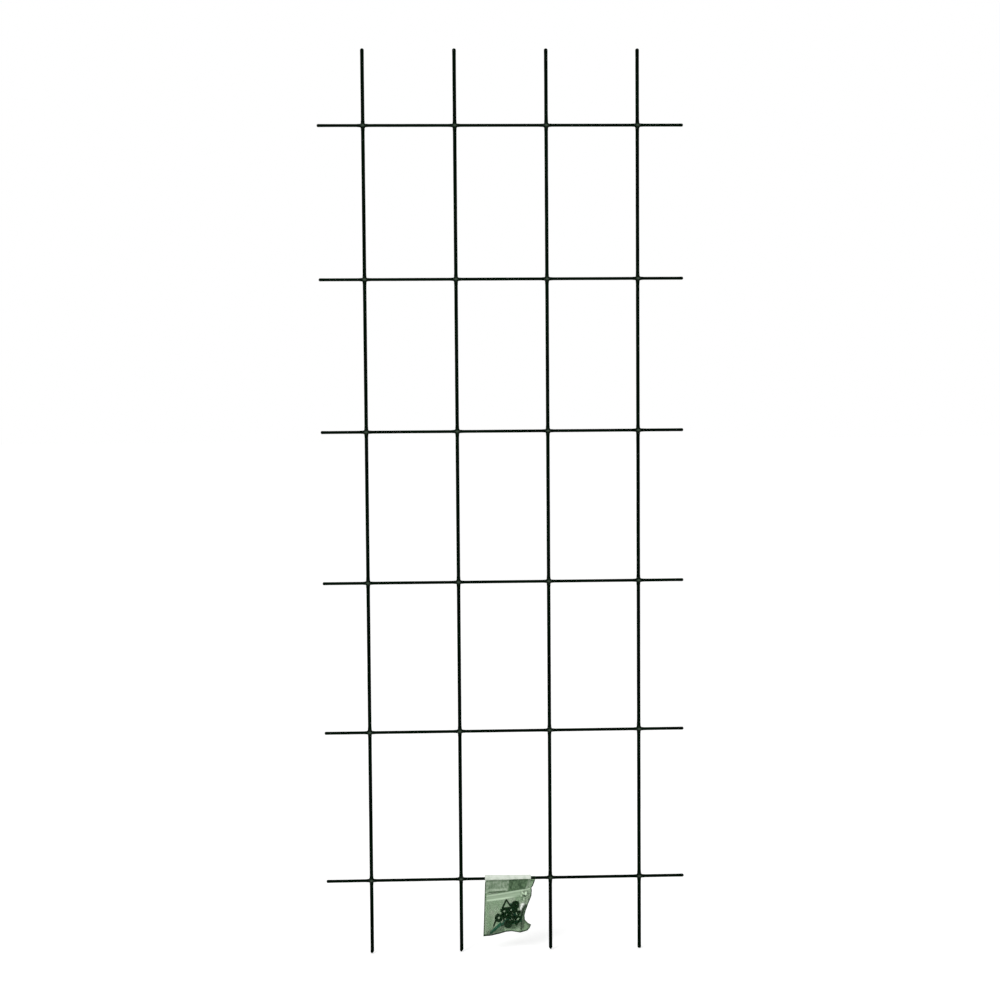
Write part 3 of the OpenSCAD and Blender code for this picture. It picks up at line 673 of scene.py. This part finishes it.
def film_depth(grid, side, puff, seed):
    """Depth of one film from the bag's middle plane."""
    least = reach_of([*CONTENTS, "seal_rib", "seal_groove"], grid.across, grid.drop, side)
    least = np.where(least > 0, least + FILM_CLEARANCE, FILM_HALF_GAP)
    held = grid.seam.copy()
    held[0] = True
    least[held] = FILM_HALF_GAP
    pouch = smooth_step(POUCH_SHARE - POUCH_ABOVE, POUCH_SHARE + POUCH_BELOW, grid.v)
    depth = stretch_over(least, held, puff * pouch)
    inside = smooth_step(0, CREASE_EASE * SEAM_W, grid.inward)
    ridges = sum(creases(grid, seed + k, *crease) for k, crease in enumerate(CREASES))
    depth = depth + CREASE_H * crumple(grid) * ridges * inside
    bands = sum(np.exp(-((grid.below_seal - offset) / SEAL_BAND_W) ** 2) for offset in SEAL_BANDS)
    depth = depth + BAND_H * bands * inside
    depth = depth + FOLD_H * grid.folds_and_shade() * smooth_step(0, FOLD_EASE * SEAM_W, grid.inward)
    depth = np.maximum(depth, least)
    edge = smooth_step(0, SEAM_W, grid.inward)
    return np.where(grid.v > 0, depth * np.where(grid.seam, edge, 1), depth)


def sway(grid):
    """Shift of both films together, front to back, along the bag's free edges."""
    waves = sum(share * noise_at(grid.plane / size, SWAY_SEED + k)
                for k, (size, share) in enumerate(SWAY_WAVES))
    return SWAY * waves * smooth_step(*SWAY_SHARES, grid.v) * np.exp(-(grid.inward / SWAY_REACH) ** 2)


def specks(grid, seed):
    """Marks of the crumpled patch: above zero where they are white painted highlights, below it where they
    are dark painted shade.
    """
    turned = grid.plane @ np.array(SPECK_TURN) / np.array(SPECK_SIZE)
    marks = np.clip(SPECK_CONTRAST * noise_at(turned, seed + len(CREASES)), -1, 1)
    return marks * grid.spot(*PATCH, PATCH_SHARP)


def haze(grid, seed):
    """Share of haze in a film: its closing bands, and white painted highlights, given as stress-whitened
    film, where it is crumpled.
    """
    upper, lower = (share * np.exp(-((grid.below_seal - offset) / SEAL_BAND_W) ** 4)
                    for share, offset in zip(BAND_HAZES, SEAL_BANDS))
    bands = upper + lower * (1 - BAND_FADE * smooth_step(*BAND_FADE_AT, grid.u))
    bands = np.maximum(bands, SEAL_HAZE * np.exp(-(grid.below_seal / SEAL_HAZE_REACH) ** 4))
    # White marks of the crumpled patch are painted highlights.
    marks = np.maximum(specks(grid, seed), 0) + TIP_HAZE * grid.spot(*PALE_TIP)
    return np.clip(bands * smooth_step(*BAND_START, grid.u) + marks, 0, 1)


def dark_film(grid, seed):
    """Share of darkness in a film: its welded edges, folds, painted shade under the heap and painted shade
    in the hollows of its crumpled patch.
    """
    least, more = LEFT_EDGE_SHARES
    edges = 1 - smooth_step(*(end * SEAM_W for end in EDGE_ENDS), grid.inward)
    edges = edges * (1 - PALE_CORNER_SHARE * grid.near(*PALE_CORNER))
    edges = edges * (least + more * smooth_step(*LEFT_EDGE_ENDS, grid.u))
    return np.clip(np.max([edges, grid.folds_and_shade(), -SPECK_DARKNESS * specks(grid, seed)], axis=0), 0, 1)


def solid_sheet(name, points, thickness):
    """A closed sheet from a grid of points, thickened to the front, or to the back if below zero."""
    rows, columns = points.shape[:2]
    count = rows * columns
    faces = grid_faces(rows, columns)
    faces += [tuple(count + corner for corner in face[::-1]) for face in faces]
    index = np.arange(count).reshape(rows, columns)
    rim = np.concatenate([index[0], index[1:, -1], index[-1, -2::-1], index[-2:0:-1, 0]])
    for here, there in zip(rim, np.roll(rim, -1)):
        faces.append((int(here), int(here) + count, int(there) + count, int(there)))
    if thickness < 0:
        faces = [face[::-1] for face in faces]
    outer = points + np.array([0, -thickness, 0])
    return mesh_of(name, np.stack([points, outer]), faces)


def add_film(name, node, grid, side, puff, look, seed):
    """One film of the bag, to its front (-1) or back (1); returns the points of its inner face."""
    depth = film_depth(grid, side, puff, seed)
    points = BAG_AXIS + np.stack([grid.across, side * depth + sway(grid), -grid.drop], -1)
    mesh = solid_sheet(name, points, -side * FILM_T)
    # Painted highlight: the gleams, on the front film only.
    gleam = np.max([grid.spot(*place, PAINTED_GLEAM_SHARP) for place in PAINTED_GLEAMS], axis=0) if side < 0 else 0
    set_values(mesh, haze=haze(grid, seed), weld=dark_film(grid, seed), gleam=gleam,
               inner=np.repeat((1, 0), depth.size))
    add_piece(name, mesh, look, "bag", [node])
    return points


def add_label(grid, film_points, look):
    """Bare label on the front film, with its top turned up over the front of the tape."""
    (u_low, u_high), (v_low, v_high) = LABEL_SHARES
    columns = np.flatnonzero((grid.u[0] >= u_low) & (grid.u[0] <= u_high))
    rows = np.flatnonzero((grid.v[:, 0] >= v_low) & (grid.v[:, 0] <= v_high))
    part = np.ix_(rows, columns)
    lower = film_points[part] + np.array([0, -LABEL_LIFT, 0])
    u = grid.u[part]
    front = fold_section(TAPE_IN_R + TAPE_T + TAPE_WAVE, FILM_HALF_GAP * 2 + TAPE_T + TAPE_WAVE, 0)
    front = front[:FOLD_FRONT]
    tops = []
    for share in np.linspace(0, 1, LABEL_TOP_ROWS):
        drop = (1 - share) * np.interp(u[0], (0, 1), LABEL_TOP_DROPS) + share * (MOUTH_DROP + TAPE_GRIP)
        depth = np.interp(-drop, front[:, 1], front[:, 0]) - LABEL_LIFT
        tops.append(np.column_stack([lower[0, :, 0], BAG_AXIS[1] + depth, BAG_AXIS[2] - drop]))
    points = np.concatenate([tops, lower])
    mesh = solid_sheet("label_face", points, LABEL_T)
    u = np.broadcast_to(u[0], points.shape[:2])
    low, high = LABEL_BLOCK_SHARES
    soft = LABEL_SOFT
    down = np.concatenate([np.zeros(LABEL_TOP_ROWS), grid.v[rows, 0]])[:, None] + 0 * u
    block = smooth_step(low - soft, low + soft, u) - smooth_step(high - soft, high + soft, u)
    line_ends = 1 - smooth_step(*(low - share for share in LINE_RIGHT_SHARES), u)
    line = smooth_step(*(v_high - share for share in LABEL_LINE_SHARES), down)
    border = line * (smooth_step(*LINE_LEFT_SHARES, u) * line_ends)
    foot = smooth_step(LABEL_FOOT_SHARE - soft, LABEL_FOOT_SHARE + soft, down)
    foot = foot * (1 - smooth_step(low - 2 * soft, low, u))
    set_values(mesh, block=block, border=border, foot=foot)
    add_piece("label_face", mesh, look, "bag", ["bag_label"])


def rounded_section(low, high, corner, steps=4):
    """Points round a rectangle with rounded corners, from its lowest and highest corner."""
    left, right, foot, top = low[0] + corner, high[0] - corner, low[1] + corner, high[1] - corner
    points = []
    for x, z, first in ((right, top, 0), (left, top, 90), (left, foot, 180), (right, foot, 270)):
        for turn in np.radians(np.linspace(first, first + 90, steps)):
            points.append((x + corner * math.cos(turn), z + corner * math.sin(turn)))
    return np.array(points)


def add_closing_strip(name, node, depths, look):
    """A strip with rounded edges along the line of the bag's closing."""
    ends = [np.array([bag_across(u, SEAL_SHARE), 0, -bag_drop(u, SEAL_SHARE)])
            for u in (SEAL_FROM_SHARE, SEAL_TO_SHARE)]
    along = (ends[1] - ends[0]) / np.linalg.norm(ends[1] - ends[0])
    up = np.cross(along, (0, 1, 0)) * -1
    section = rounded_section((depths[0], -SEAL_H / 2), (depths[1], SEAL_H / 2), SEAL_CORNER)
    shares = np.linspace(0, 1, SEAL_RINGS)
    wave = SEAL_WAVE * noise_at(np.stack([shares * SEAL_WAVES, shares * 0, shares * 0], -1), SEAL_SEED)
    rings = [BAG_AXIS + ends[0] + share * (ends[1] - ends[0]) + np.outer(section[:, 0], (0, 1, 0))
             + np.outer(section[:, 1] + lift, up) for share, lift in zip(shares, wave)]
    add_piece(name, capped_tube(name, np.array(rings)[:, ::-1]), look, "bag", [node])


def fold_section(radius, half_w, crest, pinch=TAPE_PINCH):
    """Line of a strip folded over the rail, front to back and up, from its front foot to its back foot."""
    mouth = np.array([-half_w, -MOUTH_DROP])
    touch = math.atan2(mouth[1], mouth[0]) - math.acos(radius / np.linalg.norm(mouth)) + 2 * math.pi
    arc = []
    for turn in np.linspace(touch, math.pi - touch, FOLD_STEPS):
        y, z = radius * math.cos(turn), radius * math.sin(turn)
        above = max(z, 0) / radius
        arc.append((y * (1 - pinch * above), z + crest * min(1, FOLD_RISE * above)))
    foot = np.array([0, -TAPE_GRIP])
    back = mouth * (-1, 1)
    return np.array([mouth + foot, mouth + foot / 2, mouth, *arc, back, back + foot / 2, back + foot])


def add_tape(look):
    """White tape folded over the rail: it stands above it, slightly wavy, with a ragged lower edge."""
    rings = []
    for share in np.linspace(0, 1, TAPE_RINGS):
        across = BAG_LEFT + share * TAPE_L
        crest = np.interp(share, (0, 1), TAPE_CRESTS)
        outer = fold_section(TAPE_IN_R + TAPE_T, FILM_HALF_GAP * 2 + TAPE_T, crest)
        inner = fold_section(TAPE_IN_R, FILM_HALF_GAP * 2, crest)
        loose = np.array([[across / TAPE_WAVE_L, y / TAPE_WAVE_W, z / TAPE_WAVE_W] for y, z in outer])
        wave = TAPE_WAVE * np.clip(TAPE_LOOSE + noise_at(loose, TAPE_SEED), 0, 1)[:, None]
        ragged = TAPE_RAGGED * noise_at(np.array([[across / TAPE_RAGGED_L, 0, 0]]), RAGGED_SEED)[0]
        lengths = np.linalg.norm(outer, axis=1)[:, None]
        section = np.concatenate([outer, inner[::-1]])
        section *= 1 + np.concatenate([wave / lengths, wave[::-1] / lengths])
        section[:, 1] += np.where(section[:, 1] < -MOUTH_DROP - 0.5 * TAPE_GRIP, ragged, 0)
        rings.append(BAG_AXIS + np.column_stack([np.full(len(section), across), section]))
    mesh = capped_tube("tape_fold", np.array(rings)[:, ::-1])
    add_piece("tape_fold", mesh, look, "bag", ["hanging_tape"])


def add_lip(look):
    """The lip of the bag's film, turned round the rail inside the tape."""
    turns = np.linspace(0, 2 * math.pi, LIP_SIDES, endpoint=False)
    rings = []
    for radius, start, end in ((LIP_IN_R, 1, 0), (LIP_IN_R + LIP_T, 0, 1)):
        for share in np.linspace(start, end, LIP_RINGS):
            across = np.full(LIP_SIDES, BAG_LEFT + share * TAPE_L)
            section = (radius * np.cos(turns), radius * np.sin(turns))
            rings.append(BAG_AXIS + np.column_stack([across, *section]))
    count = len(rings) * LIP_SIDES
    faces = grid_faces(len(rings) + 1, LIP_SIDES, closed=True)
    mesh = mesh_of("lip_film", rings, [tuple(corner % count for corner in face) for face in faces])
    set_values(mesh, haze=LIP_HAZE, weld=LIP_WELD, gleam=0, inner=0)
    add_piece("lip_film", mesh, look, "hanger", ["lip_loop"])


def add_lip_corner(look):
    """The free corner of the bag's lip, folded over the rail beside the tape."""
    outer = fold_section(CORNER_IN_R + CORNER_T, FILM_HALF_GAP * 2 + CORNER_T, 0, 0)
    inner = fold_section(CORNER_IN_R, FILM_HALF_GAP * 2, 0, 0)
    section = np.concatenate([outer, inner[::-1]])[::-1]
    places = np.linspace(BAG_LEFT + TAPE_L + CORNER_T, bag_across(1, 0), CORNER_RINGS)
    rings = [BAG_AXIS + np.column_stack([np.full(len(section), across), section]) for across in places]
    mesh = capped_tube("lip_corner", np.array(rings))
    ends = smooth_step(*CORNER_ENDS, np.abs(np.linspace(0, 1, CORNER_RINGS) - 0.5))
    weld = np.repeat(CORNER_WELD + CORNER_END_WELD * ends, len(section))
    inside = np.arange(len(section)) < len(inner)
    set_values(mesh, haze=CORNER_HAZE, weld=weld, gleam=0, inner=inside)
    add_piece("lip_corner", mesh, look, "bag", [])


# Fixings in the bag

CLIP_EASE, PLUG_EASE, EASE_STEPS = 0.35 * MM, 0.12 * MM, 3
JOIN_GAP, FLAT_DEG, SHARP_DEG = 0.002 * MM, 1, 28
SCREW_R, SCREW_ROOT_R, SCREW_HEAD_R, THREAD_PITCH = 1.75 * MM, 1.26 * MM, 3.25 * MM, 1.6 * MM
SCREW_POINT_L, SCREW_HEAD_H, SCREW_PLAIN_L = 4 * MM, 2.34 * MM, 7 * MM
THREAD_START, THREAD_FADE, RIDGE_HALF_SHARE = 0.3 * MM, 1.5 * MM, 0.3
RECESS_L, RECESS_W, RECESS_DEPTH, RECESS_END_SHARE = 2.0 * MM, 0.5 * MM, 1.4 * MM, 1.15
SCREW_SIDES, SCREW_RINGS, SCREW_TOP_RINGS = 40, 130, 14
# Where a screw's rings begin past its tip and end below its head's top, and how far that top draws in
SCREW_TIP_GAP, SCREW_RIM, SCREW_RIM_INSET, SCREW_LEAST = 0.05 * MM, 0.25 * MM, 0.1 * MM, 0.02


def add_eased_copy(name, node, look, ease):
    """A copy of a moulded CAD piece with its sharp edges eased."""
    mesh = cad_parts[node].data.copy()
    mesh.name = name
    work = bmesh.new()
    work.from_mesh(mesh)
    bmesh.ops.remove_doubles(work, verts=work.verts, dist=JOIN_GAP)
    bmesh.ops.dissolve_limit(work, angle_limit=math.radians(FLAT_DEG), verts=work.verts, edges=work.edges)
    limit = math.radians(SHARP_DEG)
    sharp = [e for e in work.edges if len(e.link_faces) == 2 and e.calc_face_angle() > limit]
    bmesh.ops.bevel(work, geom=sharp, offset=ease, segments=EASE_STEPS, profile=0.5, affect="EDGES",
                    clamp_overlap=True)
    work.to_mesh(mesh)
    work.free()
    piece = add_piece(name, mesh, look, "bag", [node])
    piece.modifiers.new("even_faces", "WEIGHTED_NORMAL")


def screw_axis(node):
    """Tip, direction from tip to head, and length of a CAD screw."""
    points, corners = triangles_of([node])
    points, corners = np.array(points), np.array(corners)
    a, b, c = (points[corners[:, k]] - points[0] for k in range(3))
    volumes = np.einsum("ij,ij->i", a, np.cross(b, c))
    centre = points[0] + ((a + b + c) / 4 * volumes[:, None]).sum(0) / volumes.sum()
    tip = points[np.argmax(np.linalg.norm(points - centre, axis=1))]
    along = (centre - tip) / np.linalg.norm(centre - tip)
    return tip, along, np.max((points - tip) @ along)


def screw_radius(place, turn, length):
    """Radius of a screw at a distance from its tip: point, helical thread, plain neck and head."""
    root = SCREW_ROOT_R * np.clip(place / SCREW_POINT_L, SCREW_LEAST, 1)
    phase = (place / THREAD_PITCH - turn / (2 * math.pi)) % 1
    ridge = np.clip(1 - np.abs(phase - 0.5) / RIDGE_HALF_SHARE, 0, 1)
    neck = length - SCREW_HEAD_H - SCREW_PLAIN_L
    in_neck = smooth_step(neck - THREAD_FADE, neck, place)
    fade = smooth_step(THREAD_START, SCREW_POINT_L, place) * (1 - in_neck)
    thread = root + (SCREW_R - SCREW_ROOT_R) * ridge * fade
    plain = SCREW_R * in_neck
    head = SCREW_HEAD_R - np.maximum(length - place, 0) * (SCREW_HEAD_R - SCREW_R) / SCREW_HEAD_H
    return np.maximum(np.maximum(thread, plain), head)


def add_screw(name, node, look):
    """A countersunk screw with a helical thread and a cross recess, in the place of a CAD screw."""
    tip, along, length = screw_axis(node)
    side = np.cross(along, (0, 1, 0))
    side /= np.linalg.norm(side)
    up = np.cross(along, side)
    turns = np.linspace(0, 2 * math.pi, SCREW_SIDES, endpoint=False)
    out = np.cos(turns)[:, None] * side + np.sin(turns)[:, None] * up
    rings = []
    for place in np.linspace(SCREW_TIP_GAP, length - SCREW_RIM, SCREW_RINGS):
        radius = screw_radius(place, turns, length)
        rings.append(tip + place * along + radius[:, None] * out)
    for share in np.linspace(1, SCREW_LEAST, SCREW_TOP_RINGS):
        radius = share * (SCREW_HEAD_R - SCREW_RIM_INSET)
        flat = radius * np.stack([np.cos(turns), np.sin(turns)])
        wing = np.min(np.abs(flat), axis=0) < RECESS_W
        depth = np.where(wing, RECESS_DEPTH * np.clip(RECESS_END_SHARE - radius / RECESS_L, 0, 1), 0)
        rings.append(tip + (length - depth)[:, None] * along + radius * out)
    add_piece(name, capped_tube(name, np.array(rings)), look, "bag", [node])


bag_grid = BagGrid()
film, seal, tape = film_look(), seal_look(), tape_look()
front_points = add_film("film_front", "bag_front_film", bag_grid, -1, FRONT_PUFF, film, FRONT_SEED)
add_film("film_back", "bag_back_film", bag_grid, 1, BACK_PUFF, film, BACK_SEED)
add_label(bag_grid, front_points, label_look())
add_closing_strip("zip_rib", "seal_rib", (-SEAL_T / 2, -SEAL_HALF_GAP), seal)
add_closing_strip("zip_groove", "seal_groove", (SEAL_HALF_GAP, SEAL_T / 2), seal)
add_tape(tape)
add_lip(film)
add_lip_corner(film)
clip_plastic = moulded_look("clip_plastic", (0.003, 0.022, 0.008, 1), (0.008, 0.042, 0.017, 1), 0.42)
plug_plastic = moulded_look("plug_plastic", (0.08, 0.3, 0.27, 1), (0.14, 0.42, 0.37, 1), 0.45)
blackened = blackened_look()
for k in FIXINGS:
    add_eased_copy(f"clip_body_{k}", f"wall_clip_{k}", clip_plastic, CLIP_EASE)
    add_eased_copy(f"plug_body_{k}", f"wall_plug_{k}", plug_plastic, PLUG_EASE)
    add_screw(f"screw_body_{k}", f"screw_{k}", blackened)

# Steel inside the coating, which keeps its CAD shape
steel, weld = steel_look(), weld_look()
for node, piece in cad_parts.items():
    if "_core_" in node or node == "weld_nuggets":
        piece.data.materials.clear()
        piece.data.materials.append(weld if node == "weld_nuggets" else steel)


# Studio

AMBIENT = 0.55
FLOOR_HALF = 30
# Glow of the floor near the frame and far from it, and at which distances
FLOOR_GLOW, FLOOR_GLOW_AT = (0.43, 0.54), (0.3, 2.5)
# Lamps: place, width and power
LAMPS = {"key": ((-1.8, -2.4, 2.3), 1.6, 52), "fill": ((2.4, -2.0, 1.4), 1.8, 20)}
LAMP_TARGET = (0, 0, 0.75)


def seen_share(tree):
    """1 for rays that show the background: from the camera, in a reflection or through clear film."""
    light = tree.nodes.new("ShaderNodeLightPath")
    share = light.outputs["Is Camera Ray"]
    for name in ("Is Glossy Ray", "Is Transmission Ray"):
        larger = tree.nodes.new("ShaderNodeMath")
        larger.operation = "MAXIMUM"
        tree.links.new(share, larger.inputs[0])
        tree.links.new(light.outputs[name], larger.inputs[1])
        share = larger.outputs[0]
    return share


def light_world():
    """Even white light, and plain white where the background is seen."""
    world = bpy.data.worlds.new("studio")
    bpy.context.scene.world = world
    world.use_nodes = True
    tree = world.node_tree
    strength = tree.nodes.new("ShaderNodeMapRange")
    tree.links.new(seen_share(tree), strength.inputs["Value"])
    strength.inputs["To Min"].default_value = AMBIENT
    background = tree.nodes["Background"]
    background.inputs["Color"].default_value = (1, 1, 1, 1)
    tree.links.new(strength.outputs[0], background.inputs["Strength"])


def add_floor():
    """Pale floor that keeps the frame's shadow and runs white into the background."""
    half = FLOOR_HALF
    corners = [(-half, -half, 0), (half, -half, 0), (half, half, 0), (-half, half, 0)]
    floor = add_object("floor", mesh_of("floor", corners, [(0, 1, 2, 3)]))
    look = Look("pale_floor", Base_Color=(0.86, 0.86, 0.86, 1), Emission_Color=(1, 1, 1, 1),
                Specular_IOR_Level=0.0)
    look.roughen(look.noise(40 * MM), 0.8, 0.95)
    away = look.node("ShaderNodeVectorMath", {0: look.place}, operation="LENGTH").outputs["Value"]
    glow = look.ranged(away, *FLOOR_GLOW_AT, *FLOOR_GLOW)
    look.feed("Emission Strength", look.maths("MULTIPLY", seen_share(look.tree), glow))
    floor.data.materials.append(look.material)


def add_lamp(name, place, size, power):
    """A soft round lamp that shines on the frame."""
    lamp = bpy.data.lights.new(name, "AREA")
    lamp.shape = "DISK"
    lamp.size = size
    lamp.energy = power
    holder = add_object(name, lamp)
    holder.location = place
    holder.rotation_mode = "QUATERNION"
    holder.rotation_quaternion = (Vector(LAMP_TARGET) - Vector(place)).to_track_quat("-Z", "Y")


def add_camera():
    """The photograph's camera."""
    camera = add_object("camera", bpy.data.cameras.new("camera"))
    camera.data.sensor_width = SENSOR_MM
    camera.data.lens = FOCAL_PX / PICTURE_W * SENSOR_MM
    turn = Vector(math.radians(a) for a in CAMERA_TURN_DEG)
    level = Matrix(((1, 0, 0), (0, 0, -1), (0, 1, 0)))
    right_down_forward = Matrix.Rotation(turn.length, 3, turn.normalized()) @ level
    right_up_back = Matrix(((1, 0, 0), (0, -1, 0), (0, 0, -1))) @ right_down_forward
    camera.matrix_world = Matrix.Translation(CAMERA_PLACE) @ right_up_back.transposed().to_4x4()
    bpy.context.scene.camera = camera


light_world()
add_floor()
for name, lamp in LAMPS.items():
    add_lamp(name, *lamp)
add_camera()
bpy.context.scene.view_settings.view_transform = "Standard"
